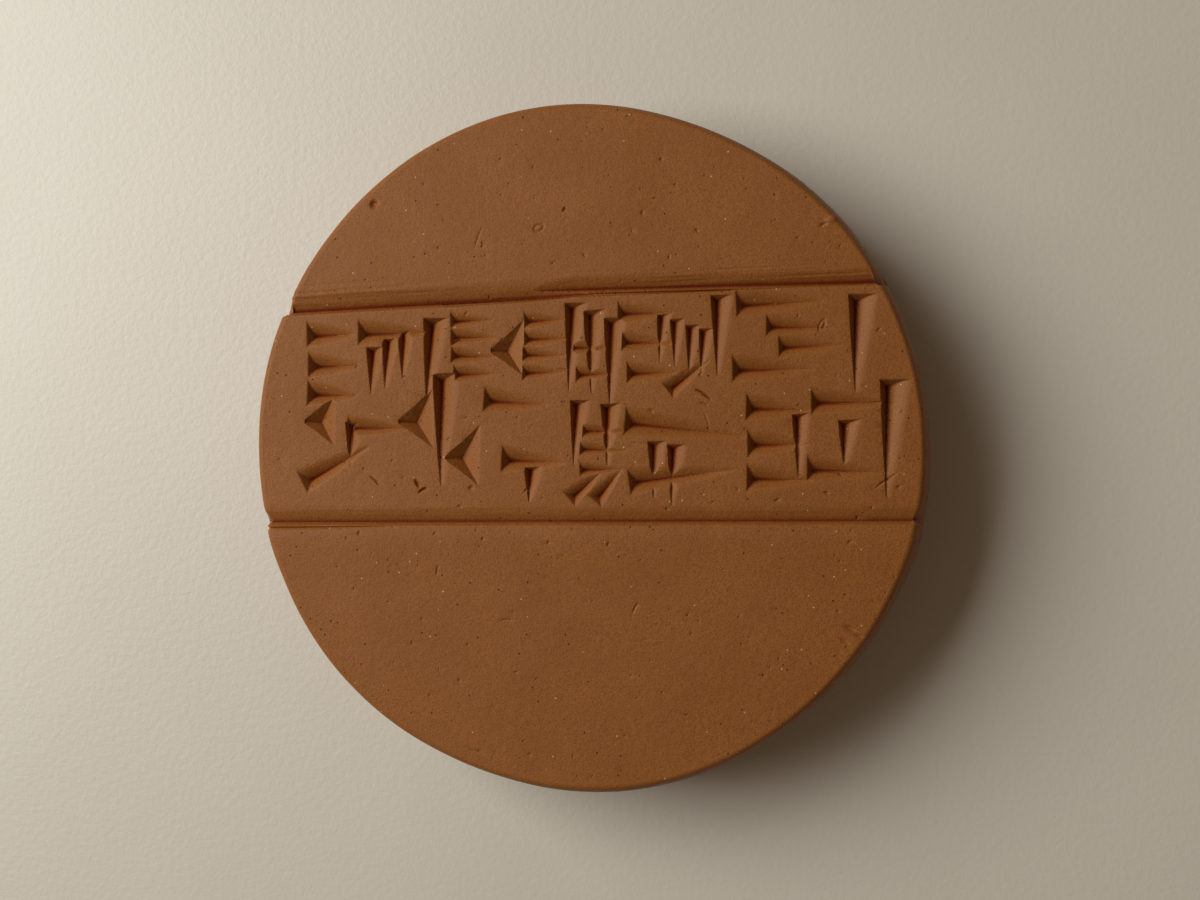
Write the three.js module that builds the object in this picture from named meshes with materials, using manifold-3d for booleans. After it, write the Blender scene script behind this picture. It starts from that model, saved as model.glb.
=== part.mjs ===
// A round practice tablet of clay: a hand-shaped disc, slightly domed on its written face, with two ruled
// lines across it and two rows of wedge strokes between them. Millimetres, +Z up out of the written face,
// +X along the rows and +Y towards the top of the writing. The disc rests on its underside at Z = 0.
import * as THREE from 'three';
import { ConvexGeometry } from 'three/addons/geometries/ConvexGeometry.js';
import { mergeVertices } from 'three/addons/utils/BufferGeometryUtils.js';
import Module from 'manifold-3d';

const wasm = await Module();
wasm.setup();

// ---- Driving dimensions of the disc ----
const MEAN_RADIUS = 40.4;
const THICKNESS = 18;
const DOME_RISE = 1.1;         // how far the middle of the written face stands above its edge
const WAIST_HEIGHT = 8;        // height at which the disc is widest
const EDGE_INSET = 1.5;        // from the waist in to where the written face begins
const FOOT_RADIUS = 35;        // the flat that the disc rests on
const EDGE_SQUARENESS = 3.0;   // exponent of the rounded upper edge: 2 is an ellipse, more is squarer
const FOOT_SQUARENESS = 2.3;   // the same for the rounded lower edge
const TOP_LEAN = 0.3;          // the upper edge sits this far towards -X of the waist
const SECTORS = 72;
const UPPER_STEPS = 6;
const LOWER_STEPS = 5;

const DEGREE = Math.PI / 180;
const FACE_RADIUS = MEAN_RADIUS - EDGE_INSET;
const FACE_EDGE_HEIGHT = THICKNESS - DOME_RISE;

// The outline is nearly round. Each wave lifts it by `height` at its crests, the first at `turn` degrees.
const OUTLINE_WAVES = [
  { crests: 2, height: 0.42, turn: 101 },
  { crests: 3, height: 0.12, turn: -3 },
  { crests: 4, height: 0.10, turn: 14 },
  { crests: 6, height: 0.09, turn: -17 },
];

// ---- Ruled lines: a shallow groove with a broad upper wall and a narrow lower wall ----
// The upper line was drawn in two pulls that overlap in the middle, the lower one in a single pull. A pull
// runs out through the edge, or it fades over `fadeIn` or `fadeOut` where it begins or ends on the face.
const LEFT_PULL = {
  start: [-40, 16.0], end: [4, 17.8], depth: 0.95, upperWall: 2.2, lowerWall: 0.5, fadeIn: 0, fadeOut: 10,
};
const RIGHT_PULL = {
  start: [-10, 18.2], end: [40, 18.9], depth: 0.95, upperWall: 1.8, lowerWall: 0.5, fadeIn: 9, fadeOut: 0,
};
const LOWER_PULL = {
  start: [-40, -9.0], end: [40, -8.6], depth: 0.75, upperWall: 1.9, lowerWall: 0.45, fadeIn: 0, fadeOut: 0,
};
const RULED_LINES = [LEFT_PULL, RIGHT_PULL, LOWER_PULL];
const RULED_STEPS = 12;

// ---- Wedge strokes: the corner of a square stylus, pressed in at one end ----
// A stroke is a three-sided pit. Its deepest point has a head wall behind it, a broad wall on its left as
// the stroke runs and a narrow wall on its right, and it rises to nothing at the tail.
const BAR = { turn: 0, depth: 1.3, head: 1.1, broad: 2.2, narrow: 1.6 };
const POST = { turn: -90, depth: 1.35, head: 0.8, broad: 2.5, narrow: 1.0 };
const HOOK = { turn: 180, depth: 1.25, head: 2.0, broad: 2.7, narrow: 3.5 };
const SURFACE_CLEARANCE = 0.25; // the cutters stand this far out of the face

// How strokes repeat inside a cluster. Places and steps are parts of the cluster's box, from its upper left
// corner. Lengths are parts of its width for bars and hooks and of its height for posts.
function run(kind, count, across, down, stepAcross, stepDown, length, size = 1, tilt = 0, stepTilt = 0) {
  return { kind, count, across, down, stepAcross, stepDown, length, size, tilt, stepTilt };
}

// Invented groups of strokes, which spell nothing. Each is drawn inside a box of its own.
const FENCE = [
  run(BAR, 3, 0.05, 0.16, 0.00, 0.33, 0.33, 0.95),
  run(POST, 3, 0.46, 0.34, 0.12, -0.09, 0.52, 0.72),
  run(BAR, 1, 0.42, 0.14, 0, 0, 0.50, 0.95),
  run(POST, 1, 0.90, 0.06, 0, 0, 0.92),
];
const BROOM = [
  run(BAR, 4, 0.08, 0.12, 0.01, 0.25, 0.34, 0.66),
  run(HOOK, 1, 0.50, 0.56, 0, 0, 0.12, 1.05),
  run(BAR, 4, 0.70, 0.14, -0.01, 0.24, 0.32, 0.64),
];
const GATE = [
  run(POST, 3, 0.10, 0.06, 0.38, 0.07, 0.84, 0.9),
  run(BAR, 2, 0.20, 0.46, 0.08, 0.27, 0.75, 0.6),
];
const KNOT = [
  run(BAR, 3, 0.10, 0.16, 0.04, 0.30, 0.45, 0.8),
  run(POST, 4, 0.44, 0.22, 0.13, 0.05, 0.45, 0.6),
  run(POST, 1, 0.94, 0.05, 0, 0, 0.80, 0.85),
  run(BAR, 1, 0.55, 0.92, 0, 0, 0.42, 0.7, 38),
];
const LADDER = [
  run(BAR, 2, 0.07, 0.10, -0.04, 0.62, 0.62),
  run(BAR, 2, 0.28, 0.32, 0.10, 0.19, 0.46, 0.8),
  run(POST, 1, 0.90, 0.06, 0, 0, 0.86, 1.1),
];
const BARBS = [
  run(HOOK, 1, 0.18, 0.26, 0, 0, 0.13, 1.0),
  run(POST, 1, 0.46, 0.30, 0, 0, 0.50, 0.75),
  run(BAR, 1, 0.50, 0.34, 0, 0, 0.52, 0.8),
  run(BAR, 1, 0.10, 0.92, 0, 0, 0.66, 0.95, 26),
];
const BRANCH = [
  run(HOOK, 2, 0.10, 0.36, 0.34, 0.30, 0.11, 1.15),
  run(POST, 1, 0.28, 0.04, 0, 0, 0.90, 1.1),
  run(BAR, 1, 0.66, 0.22, 0, 0, 0.40, 0.95, -4),
];
const TWIG = [
  run(BAR, 1, 0.08, 0.32, 0, 0, 0.80, 1),
  run(POST, 1, 0.34, 0.46, 0, 0, 0.50, 0.8),
];
const THICKET = [
  run(POST, 2, 0.16, 0.05, 0.42, 0.03, 0.62, 0.8),
  run(BAR, 3, 0.30, 0.30, -0.02, 0.20, 0.58, 0.55),
  run(BAR, 2, 0.14, 0.98, 0.34, 0.00, 0.50, 0.7, 42, 6),
];
const FLAG = [
  run(BAR, 1, 0.06, 0.20, 0, 0, 0.90, 1.05, -7),
  run(BAR, 1, 0.10, 0.78, 0, 0, 0.84, 0.95, 9),
  run(POST, 2, 0.22, 0.42, 0.17, 0.02, 0.54, 0.75),
];
const COMB = [
  run(BAR, 3, 0.05, 0.20, 0.00, 0.31, 0.34, 1),
  run(POST, 1, 0.30, 0.28, 0, 0, 0.62, 0.7),
  run(BAR, 2, 0.42, 0.14, -0.02, 0.60, 0.42, 0.95),
  run(POST, 1, 0.56, 0.34, 0, 0, 0.42, 0.85),
  run(POST, 1, 0.82, 0.02, 0, 0, 0.96, 1.15),
];

// Where each group stands: the left and top of its box, then its width and height.
const GROUPS = [
  { strokes: FENCE, left: -33.3, top: 15.0, width: 16.6, height: 10.8 },
  { strokes: BROOM, left: -16.6, top: 15.8, width: 14.6, height: 8.4 },
  { strokes: GATE, left: -2.2, top: 16.6, width: 6.0, height: 11.4 },
  { strokes: KNOT, left: 3.4, top: 17.4, width: 12.6, height: 11.8 },
  { strokes: LADDER, left: 17.6, top: 17.4, width: 15.2, height: 12.0 },
  { strokes: BARBS, left: -34.4, top: 5.6, width: 13.4, height: 10.4 },
  { strokes: BRANCH, left: -22.0, top: 8.4, width: 16.6, height: 15.0 },
  { strokes: TWIG, left: -9.4, top: 0.8, width: 8.4, height: 8.0 },
  { strokes: THICKET, left: -2.4, top: 5.2, width: 8.8, height: 11.4 },
  { strokes: FLAG, left: 4.8, top: 5.0, width: 14.0, height: 12.0 },
  { strokes: COMB, left: 18.8, top: 6.8, width: 19.6, height: 13.2 },
];

// Hand unevenness, the same at every run: a steady spread of values from -1 to 1.
const GOLDEN_STEP = 0.618034;
const SILVER_STEP = 0.414214;
const PLACE_WANDER = 0.14;
const TILT_WANDER = 2.4;
const LENGTH_WANDER = 0.07;

function wander(index, channel) {
  const spread = index * GOLDEN_STEP + channel * SILVER_STEP;
  return 2 * (spread - Math.floor(spread)) - 1;
}

function strokesOf(group) {
  const strokes = [];
  for (const part of group.strokes) {
    const lengthBase = part.kind === POST ? group.height : group.width;
    for (let i = 0; i < part.count; i++) {
      strokes.push({
        kind: part.kind,
        x: group.left + (part.across + i * part.stepAcross) * group.width,
        y: group.top - (part.down + i * part.stepDown) * group.height,
        turn: part.kind.turn + part.tilt + i * part.stepTilt,
        length: part.length * lengthBase,
        size: part.size,
      });
    }
  }
  return strokes;
}

function allStrokes() {
  return GROUPS.flatMap(strokesOf).map((stroke, index) => ({
    ...stroke,
    x: stroke.x + PLACE_WANDER * wander(index, 0),
    y: stroke.y + PLACE_WANDER * wander(index, 1),
    turn: stroke.turn + TILT_WANDER * wander(index, 2),
    length: stroke.length * (1 + LENGTH_WANDER * wander(index, 3)),
  }));
}

// ---- Form of the disc ----
function outlineLift(turn) {
  let lift = 0;
  for (const wave of OUTLINE_WAVES) {
    lift += wave.height * Math.cos(wave.crests * (turn - wave.turn * DEGREE));
  }
  return lift;
}

function faceHeight(x, y) {
  return THICKNESS - DOME_RISE * (x * x + y * y) / (FACE_RADIUS * FACE_RADIUS);
}

// Half of a cut through the disc, from the middle of the underside round the edge to the middle of the face.
function profile() {
  const points = [new THREE.Vector2(0, 0)];
  for (let i = 0; i <= LOWER_STEPS; i++) {
    const angle = (i / LOWER_STEPS) * 90 * DEGREE;
    points.push(new THREE.Vector2(
      FOOT_RADIUS + (MEAN_RADIUS - FOOT_RADIUS) * Math.sin(angle) ** (2 / FOOT_SQUARENESS),
      WAIST_HEIGHT * (1 - Math.cos(angle) ** (2 / FOOT_SQUARENESS)),
    ));
  }
  for (let i = 1; i <= UPPER_STEPS; i++) {
    const angle = (i / UPPER_STEPS) * 90 * DEGREE;
    points.push(new THREE.Vector2(
      FACE_RADIUS + EDGE_INSET * Math.cos(angle) ** (2 / EDGE_SQUARENESS),
      WAIST_HEIGHT + (FACE_EDGE_HEIGHT - WAIST_HEIGHT) * Math.sin(angle) ** (2 / EDGE_SQUARENESS),
    ));
  }
  points.push(new THREE.Vector2(FACE_RADIUS / 2, faceHeight(FACE_RADIUS / 2, 0)));
  points.push(new THREE.Vector2(0, THICKNESS));
  return points;
}

// Pulls a turned blank out of round, leans its upper edge and centres it on its base.
function shapeByHand(geometry) {
  const position = geometry.attributes.position;
  const point = new THREE.Vector3();
  for (let i = 0; i < position.count; i++) {
    point.fromBufferAttribute(position, i);
    const stretch = 1 + outlineLift(Math.atan2(point.y, point.x)) / MEAN_RADIUS;
    const rise = THREE.MathUtils.smoothstep(point.z, WAIST_HEIGHT, FACE_EDGE_HEIGHT);
    position.setXYZ(i, point.x * stretch - TOP_LEAN * rise, point.y * stretch, point.z);
  }
  geometry.computeBoundingBox();
  const middle = geometry.boundingBox.getCenter(new THREE.Vector3());
  geometry.translate(-middle.x, -middle.y, -geometry.boundingBox.min.z);
}

function blank() {
  const geometry = new THREE.LatheGeometry(profile(), SECTORS);
  geometry.rotateX(Math.PI / 2);
  shapeByHand(geometry);
  return geometry;
}

// ---- Cutting ----
function toSolid(geometry) {
  const bare = geometry.clone();
  bare.deleteAttribute('normal');
  bare.deleteAttribute('uv');
  const merged = mergeVertices(bare, 1e-4);
  return new wasm.Manifold(new wasm.Mesh({
    numProp: 3,
    vertProperties: merged.attributes.position.array,
    triVerts: new Uint32Array(merged.index.array),
  }));
}

function toGeometry(solid) {
  const mesh = solid.getMesh();
  const geometry = new THREE.BufferGeometry();
  geometry.setAttribute('position', new THREE.BufferAttribute(mesh.vertProperties, 3));
  geometry.setIndex(new THREE.BufferAttribute(mesh.triVerts, 1));
  geometry.computeVertexNormals();
  return geometry;
}

function strokeCutter(stroke) {
  const { kind, x, y, length, size } = stroke;
  const along = new THREE.Vector2(Math.cos(stroke.turn * DEGREE), Math.sin(stroke.turn * DEGREE));
  const left = new THREE.Vector2(-along.y, along.x);
  const depth = kind.depth * size;
  const deepest = new THREE.Vector3(x, y, faceHeight(x, y) - depth);
  const reach = 1 + SURFACE_CLEARANCE / depth;
  const rimCorner = (forward, sideways) => {
    const cornerX = x + along.x * forward + left.x * sideways;
    const cornerY = y + along.y * forward + left.y * sideways;
    const corner = new THREE.Vector3(cornerX, cornerY, faceHeight(cornerX, cornerY));
    return corner.sub(deepest).multiplyScalar(reach).add(deepest);
  };
  return new ConvexGeometry([
    deepest,
    rimCorner(-kind.head * size, kind.broad * size),
    rimCorner(-kind.head * size, -kind.narrow * size),
    rimCorner(length, 0),
  ]);
}

function ruledLineCutters(line) {
  const section = (step) => {
    const x = THREE.MathUtils.lerp(line.start[0], line.end[0], step / RULED_STEPS);
    const y = THREE.MathUtils.lerp(line.start[1], line.end[1], step / RULED_STEPS);
    const fromStart = line.fadeIn > 0 ? (x - line.start[0]) / line.fadeIn : 1;
    const fromEnd = line.fadeOut > 0 ? (line.end[0] - x) / line.fadeOut : 1;
    const depth = line.depth * Math.min(1, fromStart, fromEnd);
    const lip = faceHeight(x, y) + SURFACE_CLEARANCE;
    const spread = (depth + SURFACE_CLEARANCE) / line.depth;
    return [
      new THREE.Vector3(x, y, faceHeight(x, y) - depth),
      new THREE.Vector3(x, y + line.upperWall * spread, lip),
      new THREE.Vector3(x, y - line.lowerWall * spread, lip),
    ];
  };
  const cutters = [];
  for (let step = 0; step < RULED_STEPS; step++) {
    cutters.push(new ConvexGeometry([...section(step), ...section(step + 1)]));
  }
  return cutters;
}

function writtenDisc() {
  const cutters = [...allStrokes().map(strokeCutter), ...RULED_LINES.flatMap(ruledLineCutters)];
  const writing = wasm.Manifold.union(cutters.map(toSolid));
  return toGeometry(toSolid(blank()).subtract(writing));
}

const clay = new THREE.MeshStandardMaterial({ color: 0x9c6128, roughness: 0.9, metalness: 0 });
const tablet = new THREE.Mesh(writtenDisc(), clay);
tablet.name = 'tablet';

const part = new THREE.Group();
part.add(tablet);

export default part;
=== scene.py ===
"""A round practice tablet of terracotta-coloured clay, dressed over its CAD solid.

The tablet is one dense mesh with the solid's form: the same disc and stroke places, and ruled lines and
wedge strokes of nearly the same depths and widths. Curved walls, hand unevenness, drag marks, pits and chips
are added. Sizes are millimetres until the mesh is made.
"""
import math

import bpy
import numpy as np
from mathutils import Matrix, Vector


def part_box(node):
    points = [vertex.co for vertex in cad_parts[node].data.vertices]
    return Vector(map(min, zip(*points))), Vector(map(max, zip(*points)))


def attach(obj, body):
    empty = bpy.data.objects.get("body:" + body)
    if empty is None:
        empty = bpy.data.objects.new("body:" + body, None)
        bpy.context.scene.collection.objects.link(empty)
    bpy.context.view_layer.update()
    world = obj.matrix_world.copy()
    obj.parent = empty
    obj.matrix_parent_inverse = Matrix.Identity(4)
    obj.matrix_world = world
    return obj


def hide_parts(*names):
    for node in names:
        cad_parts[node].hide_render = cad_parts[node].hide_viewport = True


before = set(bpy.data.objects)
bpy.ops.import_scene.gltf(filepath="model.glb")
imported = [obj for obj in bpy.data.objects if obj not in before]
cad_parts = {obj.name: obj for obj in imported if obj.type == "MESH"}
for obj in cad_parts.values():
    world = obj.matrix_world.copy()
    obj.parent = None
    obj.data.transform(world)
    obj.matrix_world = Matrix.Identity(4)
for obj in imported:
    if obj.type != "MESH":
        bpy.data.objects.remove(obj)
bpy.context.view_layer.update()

MM = 0.001

# ---- The disc, as in the CAD source ----
MEAN_RADIUS = 40.4
THICKNESS = 18.0
DOME_RISE = 1.1
WAIST_HEIGHT = 8.0
EDGE_INSET = 1.5
FOOT_RADIUS = 35.0
EDGE_SQUARENESS = 3.0
FOOT_SQUARENESS = 2.3
TOP_LEAN = 0.3
FACE_RADIUS = MEAN_RADIUS - EDGE_INSET
FACE_EDGE_HEIGHT = THICKNESS - DOME_RISE
OUTLINE_WAVES = [          # crests, height, turn in degrees
    (2, 0.42, 101),
    (3, 0.12, -3),
    (4, 0.10, 14),
    (6, 0.09, -17),
]

# ---- The ruled lines ----
# The upper one was drawn in two pulls that overlap in the middle. A pull runs out through the edge, or it fades
# over `fade_in` or `fade_out` where it begins or ends on the face. The thin slips are not in the CAD source.
LEFT_PULL = dict(start=(-40, 16.0), end=(4, 17.8), depth=0.95, upper=2.2, lower=0.5, fade_in=0, fade_out=10)
RIGHT_PULL = dict(start=(-10, 18.2), end=(40, 18.9), depth=0.95, upper=1.8, lower=0.5, fade_in=9, fade_out=0)
LOWER_PULL = dict(start=(-40, -9.0), end=(40, -8.6), depth=0.75, upper=1.9, lower=0.45, fade_in=0, fade_out=0)
UPPER_SLIP = dict(start=(-6, 17.65), end=(24, 18.1), depth=0.28, upper=0.4, lower=0.3, fade_in=5, fade_out=9)
LOWER_SLIP = dict(start=(-40, -9.75), end=(-22, -9.45), depth=0.22, upper=0.3, lower=0.3, fade_in=0, fade_out=9)
RULED_LINES = (LEFT_PULL, RIGHT_PULL, LOWER_PULL, UPPER_SLIP, LOWER_SLIP)
RULED_CURVE = 1.9          # steepens the upper wall towards the valley
RULED_LIP = 0.1            # roundness of the lower lip
NARROWEST_SHARE = 0.05     # keeps the walls of a fading pull from closing up
RUN_OUT = (3.0, 0.6)       # a groove dies away between these depths below the rim of the face

# ---- The wedge strokes ----
# The curves steepen a wall towards the valley, and `fade` delays the rise of the tail.
BAR = dict(turn=0, depth=1.35, head=0.95, broad=2.2, narrow=1.6,
           broad_curve=1.9, narrow_curve=1.7, fade=1.4)
POST = dict(turn=-90, depth=1.45, head=0.75, broad=2.5, narrow=0.85,
            broad_curve=1.9, narrow_curve=1.1, fade=1.2)
HOOK = dict(turn=180, depth=1.25, head=2.0, broad=2.7, narrow=3.5,
            broad_curve=1.0, narrow_curve=1.0, fade=1.0)


def run(kind, count, across, down, step_across, step_down, length, size=1.0, tilt=0.0, step_tilt=0.0):
    """Equal strokes in a row, placed by parts of the group's box as in the CAD source."""
    return dict(kind=kind, count=count, across=across, down=down, step_across=step_across,
                step_down=step_down, length=length, size=size, tilt=tilt, step_tilt=step_tilt)


FENCE = [
    run(BAR, 3, 0.05, 0.16, 0.00, 0.33, 0.33, 0.95),
    run(POST, 3, 0.46, 0.34, 0.12, -0.09, 0.52, 0.72),
    run(BAR, 1, 0.42, 0.14, 0, 0, 0.50, 0.95),
    run(POST, 1, 0.90, 0.06, 0, 0, 0.92),
]
BROOM = [
    run(BAR, 4, 0.08, 0.12, 0.01, 0.25, 0.34, 0.66),
    run(HOOK, 1, 0.50, 0.56, 0, 0, 0.12, 1.05),
    run(BAR, 4, 0.70, 0.14, -0.01, 0.24, 0.32, 0.64),
]
GATE = [
    run(POST, 3, 0.10, 0.06, 0.38, 0.07, 0.84, 0.9),
    run(BAR, 2, 0.20, 0.46, 0.08, 0.27, 0.75, 0.6),
]
KNOT = [
    run(BAR, 3, 0.10, 0.16, 0.04, 0.30, 0.45, 0.8),
    run(POST, 4, 0.44, 0.22, 0.13, 0.05, 0.45, 0.6),
    run(POST, 1, 0.94, 0.05, 0, 0, 0.80, 0.85),
    run(BAR, 1, 0.55, 0.92, 0, 0, 0.42, 0.7, 38),
]
LADDER = [
    run(BAR, 2, 0.07, 0.10, -0.04, 0.62, 0.62),
    run(BAR, 2, 0.28, 0.32, 0.10, 0.19, 0.46, 0.8),
    run(POST, 1, 0.90, 0.06, 0, 0, 0.86, 1.1),
]
BARBS = [
    run(HOOK, 1, 0.18, 0.26, 0, 0, 0.13, 1.0),
    run(POST, 1, 0.46, 0.30, 0, 0, 0.50, 0.75),
    run(BAR, 1, 0.50, 0.34, 0, 0, 0.52, 0.8),
    run(BAR, 1, 0.10, 0.92, 0, 0, 0.66, 0.95, 26),
]
BRANCH = [
    run(HOOK, 2, 0.10, 0.36, 0.34, 0.30, 0.11, 1.15),
    run(POST, 1, 0.28, 0.04, 0, 0, 0.90, 1.1),
    run(BAR, 1, 0.66, 0.22, 0, 0, 0.40, 0.95, -4),
]
TWIG = [
    run(BAR, 1, 0.08, 0.32, 0, 0, 0.80, 1),
    run(POST, 1, 0.34, 0.46, 0, 0, 0.50, 0.8),
]
THICKET = [
    run(POST, 2, 0.16, 0.05, 0.42, 0.03, 0.62, 0.8),
    run(BAR, 3, 0.30, 0.30, -0.02, 0.20, 0.58, 0.55),
    run(BAR, 2, 0.14, 0.98, 0.34, 0.00, 0.50, 0.7, 42, 6),
]
FLAG = [
    run(BAR, 1, 0.06, 0.20, 0, 0, 0.90, 1.05, -7),
    run(BAR, 1, 0.10, 0.78, 0, 0, 0.84, 0.95, 9),
    run(POST, 2, 0.22, 0.42, 0.17, 0.02, 0.54, 0.75),
]
COMB = [
    run(BAR, 3, 0.05, 0.20, 0.00, 0.31, 0.34, 1),
    run(POST, 1, 0.30, 0.28, 0, 0, 0.62, 0.7),
    run(BAR, 2, 0.42, 0.14, -0.02, 0.60, 0.42, 0.95),
    run(POST, 1, 0.56, 0.34, 0, 0, 0.42, 0.85),
    run(POST, 1, 0.82, 0.02, 0, 0, 0.96, 1.15),
]

GROUPS = [                 # strokes, left, top, width, height
    (FENCE, -33.3, 15.0, 16.6, 10.8),
    (BROOM, -16.6, 15.8, 14.6, 8.4),
    (GATE, -2.2, 16.6, 6.0, 11.4),
    (KNOT, 3.4, 17.4, 12.6, 11.8),
    (LADDER, 17.6, 17.4, 15.2, 12.0),
    (BARBS, -34.4, 5.6, 13.4, 10.4),
    (BRANCH, -22.0, 8.4, 16.6, 15.0),
    (TWIG, -9.4, 0.8, 8.4, 8.0),
    (THICKET, -2.4, 5.2, 8.8, 11.4),
    (FLAG, 4.8, 5.0, 14.0, 12.0),
    (COMB, 18.8, 6.8, 19.6, 13.2),
]

GOLDEN_STEP = 0.618034
SILVER_STEP = 0.414214
PLACE_WANDER = 0.14
TILT_WANDER = 2.4
LENGTH_WANDER = 0.07

# ---- Mesh ----
UPPER_CELLS = 1000         # cells along one side of the square that becomes the upper half
LOWER_CELLS = 200          # the same for the underside; UPPER_CELLS is a whole multiple of it
SHARP_ANGLE = 24.0         # edges bent by more than this many degrees stay crisp
TRIANGLE_BUDGET = 190_000

# ---- Camera and light ----
CAMERA_TILT = 7.5          # degrees away from straight down
CAMERA_SIDE = -8.0         # the side that it leans to, in degrees from +X
CAMERA_DISTANCE = 203.0
LENS = 50.2
CAMERA_AIM = (0.7, -0.3, 9.0)
LIGHT_ELEVATION = 44.0
LIGHT_TURN = 160.0
LIGHT_DISTANCE = 600.0
LIGHT_SIZE = 440.0
LIGHT_POWER = 3.25
LIGHT_COLOUR = (1.0, 0.97, 0.92)
ROOM_COLOUR = (1.0, 0.70, 0.46)
ROOM_STRENGTH = 0.105
FLOOR_HALF_WIDTH = 1.5     # in metres
FLOOR_GAP = 0.01           # the floor lies this far under the tablet, in millimetres


def wander(index, channel):
    """Steady spread of values from -1 to 1, the same as in the CAD source."""
    spread = index * GOLDEN_STEP + channel * SILVER_STEP
    return 2 * (spread - math.floor(spread)) - 1


def all_strokes():
    strokes = []
    for parts, left, top, width, height in GROUPS:
        for part in parts:
            base = height if part["kind"] is POST else width
            for i in range(part["count"]):
                index = len(strokes)
                strokes.append(dict(
                    kind=part["kind"],
                    size=part["size"],
                    x=left + (part["across"] + i * part["step_across"]) * width
                    + PLACE_WANDER * wander(index, 0),
                    y=top - (part["down"] + i * part["step_down"]) * height
                    + PLACE_WANDER * wander(index, 1),
                    turn=part["kind"]["turn"] + part["tilt"] + i * part["step_tilt"]
                    + TILT_WANDER * wander(index, 2),
                    length=part["length"] * base * (1 + LENGTH_WANDER * wander(index, 3)),
                ))
    return strokes


# ---- Noise ----
def lattice_value(i, j, k, seed):
    mixed = (i * 374761393 + j * 668265263 + k * 1440662683 + seed * 1274126177) & 0xFFFFFFFF
    mixed = ((mixed ^ (mixed >> 13)) * 1274126177) & 0xFFFFFFFF
    return ((mixed ^ (mixed >> 16)) & 0xFFFF) / 0x7FFF - 1.0


def noise(points, cell, seed):
    """Smooth random values from -1 to 1. `cell` is the feature size, one number or one for each axis."""
    scaled = points / np.asarray(cell, dtype=float)
    corner = np.floor(scaled).astype(np.int64)
    part = scaled - corner
    ease = part * part * part * (part * (part * 6 - 15) + 10)
    total = np.zeros(len(points))
    for di in (0, 1):
        for dj in (0, 1):
            for dk in (0, 1):
                weight = (np.where(di, ease[:, 0], 1 - ease[:, 0])
                          * np.where(dj, ease[:, 1], 1 - ease[:, 1])
                          * np.where(dk, ease[:, 2], 1 - ease[:, 2]))
                total += weight * lattice_value(corner[:, 0] + di, corner[:, 1] + dj, corner[:, 2] + dk, seed)
    return total


def smoothstep(values, low, high):
    part = np.clip((values - low) / (high - low), 0, 1)
    return part * part * (3 - 2 * part)


def soft_positive(values, softness):
    """The larger of a value and 0, with a rounded corner between."""
    return 0.5 * (values + np.sqrt(values * values + softness * softness))


# ---- Form of the disc ----
def outline_lift(turn):
    return sum(height * np.cos(crests * (turn - math.radians(crest_turn)))
               for crests, height, crest_turn in OUTLINE_WAVES)


def arc_length_table(radius, height):
    """Radius, height and outward normal along a profile, by the share of its length."""
    run_length = np.concatenate([[0], np.cumsum(np.hypot(np.diff(radius), np.diff(height)))])
    slope_r = np.gradient(radius, run_length)
    slope_z = np.gradient(height, run_length)
    size = np.hypot(slope_r, slope_z)
    return run_length / run_length[-1], radius, height, slope_r / size, slope_z / size


def upper_profile(samples=600):
    """From the middle of the face out to the waist."""
    face_r = np.linspace(0, FACE_RADIUS, samples)
    face_z = THICKNESS - DOME_RISE * (face_r / FACE_RADIUS) ** 2
    angle = np.linspace(math.pi / 2, 0, samples)
    edge_r = FACE_RADIUS + EDGE_INSET * np.clip(np.cos(angle), 0, 1) ** (2 / EDGE_SQUARENESS)
    edge_z = WAIST_HEIGHT + (FACE_EDGE_HEIGHT - WAIST_HEIGHT) * np.sin(angle) ** (2 / EDGE_SQUARENESS)
    share, r, z, tr, tz = arc_length_table(np.append(face_r, edge_r[1:]), np.append(face_z, edge_z[1:]))
    return share, r, z, -tz, tr


def lower_profile(samples=600):
    """From the middle of the underside out to the waist."""
    flat_r = np.linspace(0, FOOT_RADIUS, samples)
    angle = np.linspace(0, math.pi / 2, samples)
    side_r = FOOT_RADIUS + (MEAN_RADIUS - FOOT_RADIUS) * np.sin(angle) ** (2 / FOOT_SQUARENESS)
    side_z = WAIST_HEIGHT * (1 - np.clip(np.cos(angle), 0, 1) ** (2 / FOOT_SQUARENESS))
    share, r, z, tr, tz = arc_length_table(np.append(flat_r, side_r[1:]), np.append(flat_r * 0, side_z[1:]))
    return share, r, z, tz, -tr


def disc_grid(cells):
    """Share of the way out and angle for each corner of a square grid pulled round into a disc."""
    line = np.linspace(-1, 1, cells + 1)
    across, up = np.meshgrid(line, line)
    wide = np.abs(across) > np.abs(up)
    with np.errstate(divide="ignore", invalid="ignore"):
        radius = np.where(wide, across, up)
        angle = np.where(wide, (math.pi / 4) * up / across, math.pi / 2 - (math.pi / 4) * across / up)
    angle = np.nan_to_num(angle)
    return np.abs(radius).ravel(), (angle + np.where(radius < 0, math.pi, 0)).ravel()


def shaped(profile, cells):
    """Points and outward normals of one half of the disc."""
    outward, angle = disc_grid(cells)
    share, radius, height, normal_r, normal_z = profile
    r, z = np.interp(outward, share, radius), np.interp(outward, share, height)
    nr, nz = np.interp(outward, share, normal_r), np.interp(outward, share, normal_z)
    stretch = 1 + outline_lift(angle) / MEAN_RADIUS
    x = r * stretch * np.cos(angle) - TOP_LEAN * smoothstep(z, WAIST_HEIGHT, FACE_EDGE_HEIGHT)
    y = r * stretch * np.sin(angle)
    size = np.hypot(nr, nz)
    normals = np.column_stack([nr * np.cos(angle) / size, nr * np.sin(angle) / size, nz / size])
    return np.column_stack([x, y, z]), normals


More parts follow.
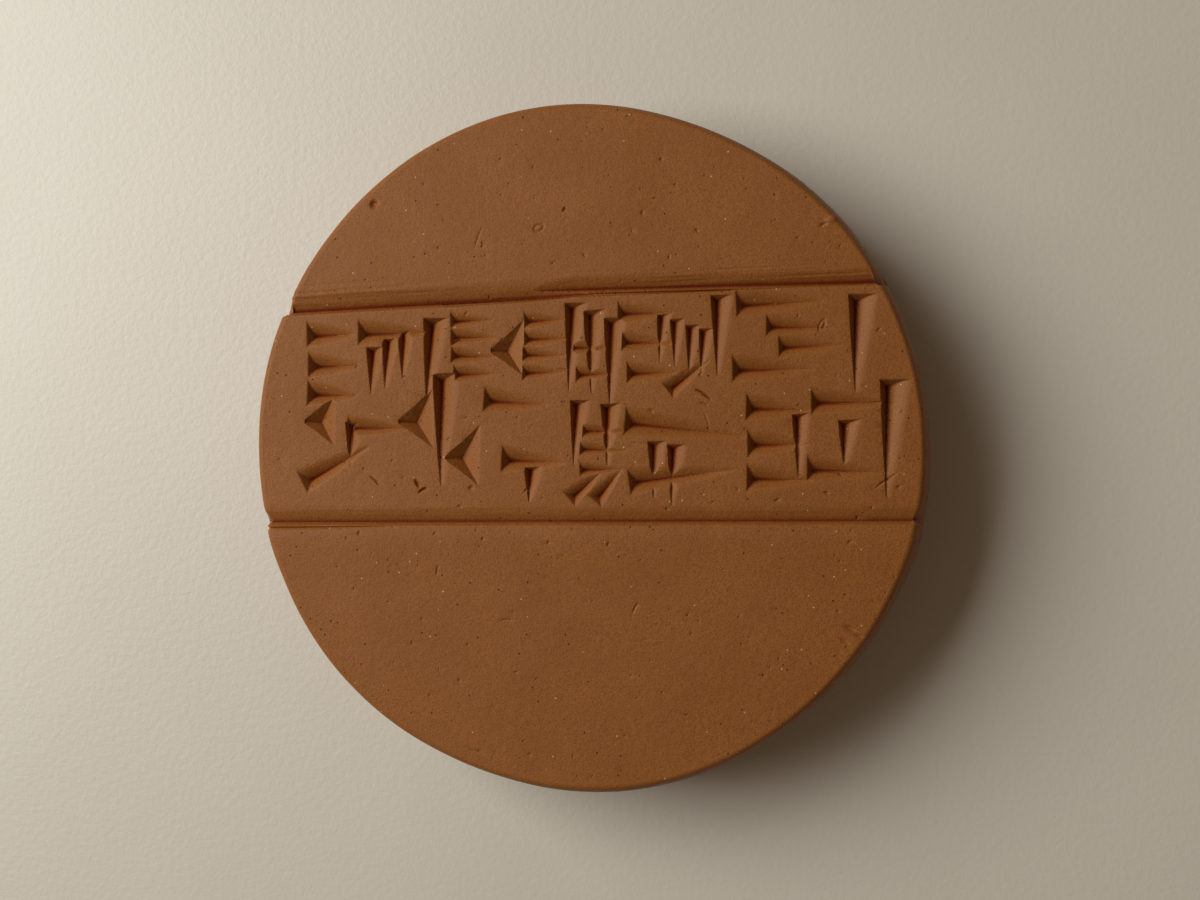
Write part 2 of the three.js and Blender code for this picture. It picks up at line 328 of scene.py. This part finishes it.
# ---- Relief ----
HEAD_SOFTNESS = 0.06       # roundness of the lip behind a stroke's head
TAIL_CUT = 0.16            # share of the full depth that is left where the tail ends
TAIL_END = 0.94            # the last part of the length, over which the tail closes
JOIN_POWER = 6             # how sharply two strokes meet
SHORTEST_REACH = 6         # a stroke is looked for at least this far round its deepest point
REACH_MARGIN = 3


def stroke_depth(x, y, stroke):
    """Depth of one three-sided pit at each point."""
    turn = math.radians(stroke["turn"])
    dx, dy = x - stroke["x"], y - stroke["y"]
    along = dx * math.cos(turn) + dy * math.sin(turn)
    left = dy * math.cos(turn) - dx * math.sin(turn)
    kind, size, length = stroke["kind"], stroke["size"], stroke["length"]
    depth, head = kind["depth"] * size, kind["head"] * size
    spread = (length + head) / length
    tail = np.clip(along / length, 0, None)
    ramp = 1 - np.minimum(along / length, 0) - (1 - TAIL_CUT) * tail ** kind["fade"]
    ramp = ramp * smoothstep(tail, 1.0, TAIL_END)
    broad = np.clip(ramp - left * spread / (kind["broad"] * size), 0, None) ** kind["broad_curve"]
    narrow = np.clip(ramp + left * spread / (kind["narrow"] * size), 0, None) ** kind["narrow_curve"]
    behind = soft_positive(1 + along / head, HEAD_SOFTNESS)
    return depth * np.minimum(behind, np.minimum(broad, narrow))


def writing_depth(x, y):
    total = np.zeros(len(x))
    for stroke in all_strokes():
        reach = max(stroke["length"], SHORTEST_REACH) + REACH_MARGIN
        near = (np.abs(x - stroke["x"]) < reach) & (np.abs(y - stroke["y"]) < reach)
        total[near] += stroke_depth(x[near], y[near], stroke) ** JOIN_POWER
    return total ** (1 / JOIN_POWER)


def ruled_depth(x, y, line):
    """Depth of one pull of the ruling edge at each point."""
    (start_x, start_y), (end_x, end_y) = line["start"], line["end"]
    above = y - (start_y + (end_y - start_y) * (x - start_x) / (end_x - start_x))
    share = np.ones(len(x))
    if line["fade_in"]:
        share = np.minimum(share, (x - start_x) / line["fade_in"])
    if line["fade_out"]:
        share = np.minimum(share, (end_x - x) / line["fade_out"])
    share = np.clip(share, 0, 1)
    width = np.maximum(share, NARROWEST_SHARE)
    upper = np.clip(1 - above / (line["upper"] * width), 0, 1) ** RULED_CURVE
    lower = np.clip(soft_positive(1 + above / (line["lower"] * width), RULED_LIP), 0, 1)
    return line["depth"] * share * np.where(above > 0, upper, lower)


UPPER_LEVEL = 17.4          # where the two ruled lines cross the middle of the face
UPPER_SLOPE = 0.035
LOWER_LEVEL = -8.8
RIDGE_HEIGHT = 0.055       # fine ridges dragged along above the upper line
TRAIL_HEIGHT = 0.015       # and above the lower line
SAG_DEPTH = 0.22           # the face sinks towards the upper line over SAG_WIDTH
SAG_WIDTH = 5.0
SWELL_HEIGHT = 0.16        # and stands up a little below the lower line


def drag_marks(x, y):
    """What the ruling edge did beside its lines: ridges, a sag above the upper, a swell below the lower."""
    above = y - UPPER_LEVEL - UPPER_SLOPE * x
    points = np.column_stack([x, above, np.zeros(len(x))])
    fine = noise(points, (9.0, 0.22, 1.0), 21) + 0.8 * noise(points, (14.0, 0.5, 1.0), 22)
    strength = smoothstep(above, 0.1, 0.9) * (1 - smoothstep(above, 1.6, 4.5))
    patchy = 0.55 + 0.45 * noise(points, (12.0, 2.0, 1.0), 23)
    over_lower = y - LOWER_LEVEL
    trail = smoothstep(over_lower, 0.1, 0.8) * (1 - smoothstep(over_lower, 1.2, 2.4))
    coarse = noise(np.column_stack([x, y, np.zeros(len(x))]), (8.0, 0.3, 1.0), 24)
    sag = SAG_DEPTH * np.clip(1 - above / SAG_WIDTH, 0, 1) ** 2 * (above > 0)
    swell = SWELL_HEIGHT * smoothstep(-over_lower, 0.3, 2.0) * (1 - smoothstep(-over_lower, 2.0, 8.0))
    return RIDGE_HEIGHT * fine * strength * patchy + TRAIL_HEIGHT * coarse * trail - sag + swell


# Small accidents on the face. A pit is a hole, a ring leaves its middle standing, a scratch is a bent furrow
# and a lump stands up. Each has its place, its direction in degrees, its half length, half width and depth.
MARKS = [
    ("ring", -5.4, 25.6, 20, 0.55, 0.38, 0.12),
    ("pit", -2.4, 27.7, 60, 0.30, 0.16, 0.22),
    ("pit", 8.9, 33.4, 0, 0.22, 0.16, 0.16),
    ("lump", 28.5, 26.0, 25, 0.75, 0.42, 0.16),
    ("pit", 27.6, 25.4, 25, 0.50, 0.20, 0.18),
    ("pit", 24.8, 32.1, -40, 0.40, 0.25, 0.30),
    ("pit", 26.1, 30.3, -45, 0.55, 0.22, 0.25),
    ("pit", -25.4, 28.9, 50, 0.45, 0.40, 0.35),
    ("scratch", -12.6, 24.6, 70, 1.10, 0.10, 0.08),
    ("scratch", 13.6, 6.1, -28, 0.75, 0.11, 0.22),
    ("scratch", 14.2, 5.6, -32, 0.60, 0.10, 0.20),
    ("scratch", 13.9, 4.8, -20, 0.45, 0.10, 0.14),
    ("scratch", 14.3, 2.6, -75, 1.20, 0.10, 0.07),
    ("ring", 27.4, 13.8, 65, 0.62, 0.26, 0.12),
    ("scratch", -15.2, 12.3, 35, 0.60, 0.13, 0.30),
    ("pit", -19.9, -4.4, -60, 0.55, 0.18, 0.30),
    ("scratch", -19.2, -5.2, 30, 0.55, 0.13, 0.28),
    ("scratch", -25.1, -4.1, -45, 0.80, 0.10, 0.16),
    ("scratch", 34.6, -4.1, 35, 1.45, 0.10, 0.14),
    ("scratch", 34.3, 4.9, 0, 1.30, 0.08, 0.10),
    ("pit", 36.4, 3.8, 40, 0.22, 0.16, 0.12),
    ("pit", 30.6, -21.0, -25, 0.80, 0.30, 0.20),
    ("pit", 31.6, -21.8, -20, 0.60, 0.26, 0.18),
    ("pit", 29.9, -22.4, -30, 0.55, 0.22, 0.15),
    ("scratch", -9.2, -20.4, 5, 0.70, 0.10, 0.12),
    ("scratch", -17.4, -14.6, 80, 0.55, 0.10, 0.12),
    ("scratch", 6.0, -18.8, 60, 0.65, 0.11, 0.12),
    ("pit", -7.0, 11.2, 0, 0.24, 0.22, 0.16),
    ("scratch", -2.6, 8.9, -10, 0.55, 0.10, 0.12),
    ("pit", -13.4, -4.9, 40, 0.34, 0.26, 0.20),
]
RANDOM_PITS = 170
PIT_SIZES = (0.07, 0.17)
PIT_DEPTH = (0.04, 0.7)    # a least depth, and what the pit's size adds to it
FACE_SEED = 41


def random_marks():
    """Sparse small pits all over the face, the larger ones rarer."""
    generator = np.random.default_rng(FACE_SEED)
    marks = []
    for _ in range(RANDOM_PITS):
        distance = FACE_RADIUS * math.sqrt(generator.random())
        turn = generator.random() * 2 * math.pi
        size = PIT_SIZES[0] + (PIT_SIZES[1] - PIT_SIZES[0]) * generator.random() ** 3
        marks.append(("pit", distance * math.cos(turn), distance * math.sin(turn), generator.random() * 180,
                      size * (1 + generator.random()), size, PIT_DEPTH[0] + PIT_DEPTH[1] * size))
    return marks


def marks_depth(x, y):
    total = np.zeros(len(x))
    for kind, mark_x, mark_y, turn, half_length, half_width, depth in MARKS + random_marks():
        reach = 3 * half_length
        near = (np.abs(x - mark_x) < reach) & (np.abs(y - mark_y) < reach)
        turn = math.radians(turn)
        dx, dy = x[near] - mark_x, y[near] - mark_y
        along = (dx * math.cos(turn) + dy * math.sin(turn)) / half_length
        side = (dy * math.cos(turn) - dx * math.sin(turn)) / half_width
        if kind == "scratch":
            shape = np.exp(-(side - 0.8 * (1 - along ** 2)) ** 2) * np.exp(-along ** 6)
        elif kind == "ring":
            shape = np.exp(-((np.hypot(along, side) - 1) / 0.35) ** 2)
        else:
            shape = np.exp(-(along ** 2 + side ** 2) ** 1.5)
        total[near] += np.where(kind == "lump", -depth, depth) * shape
    return total


def valleys():
    """Start, direction and length of each sharp valley, in the plane of the face."""
    for stroke in all_strokes():
        yield stroke["x"], stroke["y"], math.radians(stroke["turn"]), stroke["length"]
    for line in RULED_LINES:
        (start_x, start_y), (end_x, end_y) = line["start"], line["end"]
        turn = math.atan2(end_y - start_y, end_x - start_x)
        yield start_x, start_y, turn, math.hypot(end_x - start_x, end_y - start_y)


def draw_onto_valleys(points, spacing):
    """Moves the points beside each valley onto it, so that it comes out straight and sharp."""
    reach = 4 * spacing
    half = 0.5 * spacing
    for x, y, turn, length in valleys():
        dx, dy = points[:, 0] - x, points[:, 1] - y
        along = dx * math.cos(turn) + dy * math.sin(turn)
        left = dy * math.cos(turn) - dx * math.sin(turn)
        near = (np.abs(left) < reach) & (along > -spacing) & (along < length)
        near = near & (points[:, 2] > WAIST_HEIGHT)
        left = left[near]
        pulled = np.sign(left) * np.clip(np.abs(left) - half, 0, None) * reach / (reach - half)
        points[near, 0] -= (pulled - left) * math.sin(turn)
        points[near, 1] += (pulled - left) * math.cos(turn)


def upper_relief(points):
    """How far each point of the upper half is pressed in."""
    x, y = points[:, 0], points[:, 1]
    depth = writing_depth(x, y)
    on_top = smoothstep(points[:, 2], FACE_EDGE_HEIGHT - RUN_OUT[0], FACE_EDGE_HEIGHT - RUN_OUT[1])
    for line in RULED_LINES:
        depth = np.maximum(depth, ruled_depth(x, y, line) * on_top)
    unevenness = 0.10 * noise(points, 14.0, 1) + 0.030 * noise(points, 4.5, 2)
    return depth + marks_depth(x, y) - unevenness - drag_marks(x, y)


def lower_relief(points):
    """How far each point of the lower half is pressed in: broad, soft unevenness."""
    return -(0.14 * noise(points, 16.0, 5) + 0.05 * noise(points, 5.0, 6))


# ---- Mesh ----
def patch_triangles(cells, start, flip):
    """Two triangles for each cell of a square grid of vertices that begins at `start`."""
    row = cells + 1
    corner = (np.arange(cells)[:, None] * row + np.arange(cells)[None, :]).ravel() + start
    one = np.column_stack([corner, corner + 1, corner + row + 1])
    two = np.column_stack([corner, corner + row + 1, corner + row])
    triangles = np.vstack([one, two])
    return triangles[:, ::-1] if flip else triangles


def grid_boundary(cells, start):
    """The vertices round the rim of a square grid, anticlockwise from its lower left corner."""
    row = cells + 1
    bottom = np.arange(cells)
    right = cells + np.arange(cells) * row
    top = cells * row + cells - np.arange(cells)
    left = (cells - np.arange(cells)) * row
    return np.concatenate([bottom, right, top, left]) + start


def waist_triangles(fine, coarse):
    """Joins a fine rim to a coarse one below it, several fine edges to each coarse edge."""
    ratio = len(fine) // len(coarse)
    fine_next, coarse_next = np.roll(fine, -1), np.roll(coarse, -1)
    triangles = []
    for k in range(ratio):
        owner = coarse if k < ratio // 2 else coarse_next
        triangles.append(np.column_stack([owner, fine_next[k::ratio], fine[k::ratio]]))
    triangles.append(np.column_stack([coarse, coarse_next, fine[ratio // 2::ratio]]))
    return np.vstack(triangles)


def fit_to_box(points, low, high):
    """Scales and moves points, in metres, to fill a box from its floor up."""
    own_low, own_high = points.min(axis=0), points.max(axis=0)
    return low + (points - own_low) * (high - low) / (own_high - own_low)


def tablet_mesh():
    upper, upper_normals = shaped(upper_profile(), UPPER_CELLS)
    lower, lower_normals = shaped(lower_profile(), LOWER_CELLS)
    middle = (upper[:, :2].min(axis=0) + upper[:, :2].max(axis=0)) / 2
    upper[:, :2] -= middle
    lower[:, :2] -= middle
    draw_onto_valleys(upper, 2 * FACE_RADIUS / UPPER_CELLS)
    upper = upper - upper_normals * upper_relief(upper)[:, None]
    lower = lower - lower_normals * (lower_relief(lower) * smoothstep(lower[:, 2], 0.0, 1.0))[:, None]
    points = np.vstack([upper, lower]) * MM
    low, high = (np.array(corner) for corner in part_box("tablet"))
    points = fit_to_box(points, low, high)
    lower_start = len(upper)
    triangles = np.vstack([
        patch_triangles(UPPER_CELLS, 0, False),
        patch_triangles(LOWER_CELLS, lower_start, True),
        waist_triangles(grid_boundary(UPPER_CELLS, 0), grid_boundary(LOWER_CELLS, lower_start)),
    ])
    mesh = bpy.data.meshes.new("tablet_clay")
    mesh.vertices.add(len(points))
    mesh.vertices.foreach_set("co", points.ravel())
    mesh.loops.add(triangles.size)
    mesh.loops.foreach_set("vertex_index", triangles.ravel())
    mesh.polygons.add(len(triangles))
    mesh.polygons.foreach_set("loop_start", np.arange(0, triangles.size, 3))
    mesh.update(calc_edges=True)
    mesh.validate()
    return mesh


def thin_out(piece, budget):
    """Keeps the form with fewer triangles."""
    modifier = piece.modifiers.new("thin_out", "DECIMATE")
    modifier.ratio = budget / len(piece.data.polygons)
    graph = bpy.context.evaluated_depsgraph_get()
    thinned = bpy.data.meshes.new_from_object(piece.evaluated_get(graph))
    piece.modifiers.remove(modifier)
    piece.data = thinned


def make_tablet():
    piece = bpy.data.objects.new("tablet_clay", tablet_mesh())
    bpy.context.collection.objects.link(piece)
    thin_out(piece, TRIANGLE_BUDGET)
    piece.data.polygons.foreach_set("use_smooth", np.ones(len(piece.data.polygons), dtype=bool))
    piece.data.set_sharp_from_angle(angle=math.radians(SHARP_ANGLE))
    piece.data.materials.clear()
    piece.data.materials.append(clay_material())
    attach(piece, "root")
    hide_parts("tablet")
    return piece


# ---- Materials ----
CLAY_DARK = (0.315, 0.112, 0.022)
CLAY_LIGHT = (0.350, 0.129, 0.028)
CLAY_GRAIN = (0.245, 0.086, 0.018)
# Painted shade: the dark red-brown laid into the colour in hollows where walls close in.
CLAY_PAINTED_SHADE = (0.17, 0.014, 0.0006)
PALE_SPECK = (0.62, 0.44, 0.27)
DARK_SPECK = (0.09, 0.03, 0.008)
# Painted shade: walls closer than this reach darken each other's colour, and the share after it is how far the
# colour goes to the painted shade.
PAINTED_SHADE_REACH = 0.9          # how far apart walls darken each other, in millimetres
PAINTED_SHADE_SHARE = 0.85
FLOOR_DARK = (0.71, 0.685, 0.60)
FLOOR_LIGHT = (0.74, 0.715, 0.63)


class Nodes:
    """A short way to write a material's node tree. Coordinates and heights are in millimetres."""

    def __init__(self, material):
        material.use_nodes = True
        self.tree = material.node_tree
        self.shader = self.tree.nodes["Principled BSDF"]
        coordinates = self.tree.nodes.new("ShaderNodeTexCoord")
        scale = self.tree.nodes.new("ShaderNodeVectorMath")
        scale.operation = "SCALE"
        scale.inputs["Scale"].default_value = 1 / MM
        self.tree.links.new(coordinates.outputs["Object"], scale.inputs[0])
        self.place = scale.outputs[0]

    def set(self, socket, value):
        if isinstance(value, bpy.types.NodeSocket):
            self.tree.links.new(value, socket)
        elif isinstance(value, tuple) and socket.type == "RGBA":
            socket.default_value = (*value, 1)
        else:
            socket.default_value = value

    def noise(self, size, detail, roughness, offset=0.0):
        """Cloudy values from 0 to 1 with features of the given size."""
        node = self.tree.nodes.new("ShaderNodeTexNoise")
        node.inputs["Scale"].default_value = 1 / size
        node.inputs["Detail"].default_value = detail
        node.inputs["Roughness"].default_value = roughness
        move = self.tree.nodes.new("ShaderNodeVectorMath")
        move.inputs[1].default_value = (offset, 2 * offset, 3 * offset)
        self.set(move.inputs[0], self.place)
        self.set(node.inputs["Vector"], move.outputs[0])
        return node.outputs["Fac"]

    def dots(self, spacing, radius, offset):
        """1 inside scattered round dots, 0 outside."""
        node = self.tree.nodes.new("ShaderNodeTexVoronoi")
        node.inputs["Scale"].default_value = 1 / spacing
        move = self.tree.nodes.new("ShaderNodeVectorMath")
        move.inputs[1].default_value = (offset, offset, offset)
        self.set(move.inputs[0], self.place)
        self.set(node.inputs["Vector"], move.outputs[0])
        return self.ramp(node.outputs["Distance"], radius / spacing, 0.5 * radius / spacing)

    def ramp(self, value, start, end):
        """Carries a value from 0 at `start` to 1 at `end`."""
        node = self.tree.nodes.new("ShaderNodeMapRange")
        node.interpolation_type = "SMOOTHSTEP"
        self.set(node.inputs["Value"], value)
        low, high = min(start, end), max(start, end)
        self.set(node.inputs["From Min"], low)
        self.set(node.inputs["From Max"], high)
        self.set(node.inputs["To Min"], 0.0 if start < end else 1.0)
        self.set(node.inputs["To Max"], 1.0 if start < end else 0.0)
        return node.outputs["Result"]

    def mix(self, share, first, second):
        node = self.tree.nodes.new("ShaderNodeMix")
        node.data_type = "RGBA"
        colours = [socket for socket in node.inputs if socket.type == "RGBA"]
        self.set(node.inputs["Factor"], share)
        self.set(colours[0], first)
        self.set(colours[1], second)
        return next(socket for socket in node.outputs if socket.type == "RGBA")

    def math(self, operation, *values):
        node = self.tree.nodes.new("ShaderNodeMath")
        node.operation = operation
        for socket, value in zip(node.inputs, values):
            self.set(socket, value)
        return node.outputs[0]

    def nearness(self, reach):
        """0 in the open, 1 where other surfaces close in."""
        node = self.tree.nodes.new("ShaderNodeAmbientOcclusion")
        node.samples = 8
        node.inputs["Distance"].default_value = reach * MM
        return self.math("SUBTRACT", 1.0, node.outputs["AO"])

    def bump(self, height):
        node = self.tree.nodes.new("ShaderNodeBump")
        node.inputs["Distance"].default_value = MM
        node.inputs["Strength"].default_value = 1.0
        self.set(node.inputs["Height"], height)
        self.set(self.shader.inputs["Normal"], node.outputs["Normal"])


def clay_material():
    """Unglazed terracotta clay: mottled and sandy, with pale grit, dark pinholes and painted shade in the
    strokes and hollows.
    """
    material = bpy.data.materials.new("clay")
    nodes = Nodes(material)
    mottle = nodes.ramp(nodes.noise(9.0, 5.0, 0.6), 0.3, 0.7)
    colour = nodes.mix(mottle, CLAY_DARK, CLAY_LIGHT)
    sand = nodes.noise(0.20, 3.0, 0.7, 5.0)
    colour = nodes.mix(nodes.ramp(sand, 0.58, 0.36), colour, CLAY_GRAIN)
    grit = nodes.dots(1.9, 0.13, 3.0)
    holes = nodes.dots(1.7, 0.13, 11.0)
    colour = nodes.mix(grit, colour, PALE_SPECK)
    colour = nodes.mix(holes, colour, DARK_SPECK)
    # Painted shade: where walls close in, as in strokes, ruled lines and pits, the colour turns towards the
    # dark painted shade colour.
    painted_shade = nodes.ramp(nodes.nearness(PAINTED_SHADE_REACH), 0.20, 0.55)
    colour = nodes.mix(nodes.math("MULTIPLY", painted_shade, PAINTED_SHADE_SHARE), colour, CLAY_PAINTED_SHADE)
    nodes.set(nodes.shader.inputs["Base Color"], colour)
    nodes.set(nodes.shader.inputs["Roughness"], nodes.math("MULTIPLY_ADD", sand, 0.18, 0.44))
    nodes.shader.inputs["Specular IOR Level"].default_value = 0.25
    grain = nodes.math("MULTIPLY", nodes.noise(0.24, 3.0, 0.65, 7.0), 0.045)
    waves = nodes.math("MULTIPLY", nodes.noise(1.1, 4.0, 0.6, 9.0), 0.07)
    height = nodes.math("ADD", grain, waves)
    height = nodes.math("SUBTRACT", height, nodes.math("MULTIPLY", holes, 0.08))
    height = nodes.math("ADD", height, nodes.math("MULTIPLY", grit, 0.03))
    nodes.bump(height)
    return material


def floor_material():
    """A plain pale table top, very slightly uneven."""
    material = bpy.data.materials.new("floor")
    nodes = Nodes(material)
    cloud = nodes.ramp(nodes.noise(45.0, 4.0, 0.5), 0.3, 0.7)
    nodes.set(nodes.shader.inputs["Base Color"], nodes.mix(cloud, FLOOR_DARK, FLOOR_LIGHT))
    nodes.shader.inputs["Roughness"].default_value = 0.4
    nodes.shader.inputs["Specular IOR Level"].default_value = 0.7
    nodes.bump(nodes.math("MULTIPLY", nodes.noise(0.9, 3.0, 0.6), 0.045))
    return material


# ---- Stage ----
def make_floor():
    half = FLOOR_HALF_WIDTH
    corners = [(-half, -half, 0), (half, -half, 0), (half, half, 0), (-half, half, 0)]
    mesh = bpy.data.meshes.new("floor")
    mesh.from_pydata(corners, [], [(0, 1, 2, 3)])
    floor = bpy.data.objects.new("floor", mesh)
    floor.location.z = -FLOOR_GAP * MM
    mesh.materials.append(floor_material())
    bpy.context.collection.objects.link(floor)


def direction(elevation, turn):
    elevation, turn = math.radians(elevation), math.radians(turn)
    return Vector((math.cos(elevation) * math.cos(turn), math.cos(elevation) * math.sin(turn),
                   math.sin(elevation)))


def make_camera():
    data = bpy.data.cameras.new("camera")
    data.lens = LENS
    data.sensor_width = 36
    camera = bpy.data.objects.new("camera", data)
    toward = direction(90 - CAMERA_TILT, CAMERA_SIDE)
    camera.location = (Vector(CAMERA_AIM) + toward * CAMERA_DISTANCE) * MM
    right = Vector((0, 1, 0)).cross(toward).normalized()
    up = toward.cross(right)
    rotation = camera.matrix_world.to_3x3()
    rotation.col[0], rotation.col[1], rotation.col[2] = right, up, toward
    camera.rotation_euler = rotation.to_euler()
    bpy.context.collection.objects.link(camera)
    bpy.context.scene.camera = camera


def make_lights():
    data = bpy.data.lights.new("soft_window", "AREA")
    data.shape = "SQUARE"
    data.size = LIGHT_SIZE * MM
    data.energy = LIGHT_POWER
    data.color = LIGHT_COLOUR
    light = bpy.data.objects.new("soft_window", data)
    toward = direction(LIGHT_ELEVATION, LIGHT_TURN)
    light.location = toward * LIGHT_DISTANCE * MM
    light.rotation_euler = toward.to_track_quat("Z", "Y").to_euler()
    bpy.context.collection.objects.link(light)
    world = bpy.data.worlds.new("room")
    world.use_nodes = True
    background = world.node_tree.nodes["Background"]
    background.inputs["Color"].default_value = (*ROOM_COLOUR, 1)
    background.inputs["Strength"].default_value = ROOM_STRENGTH
    bpy.context.scene.world = world


def main():
    make_camera()
    make_floor()
    make_lights()
    make_tablet()
    bpy.context.scene.view_settings.view_transform = "Standard"


main()
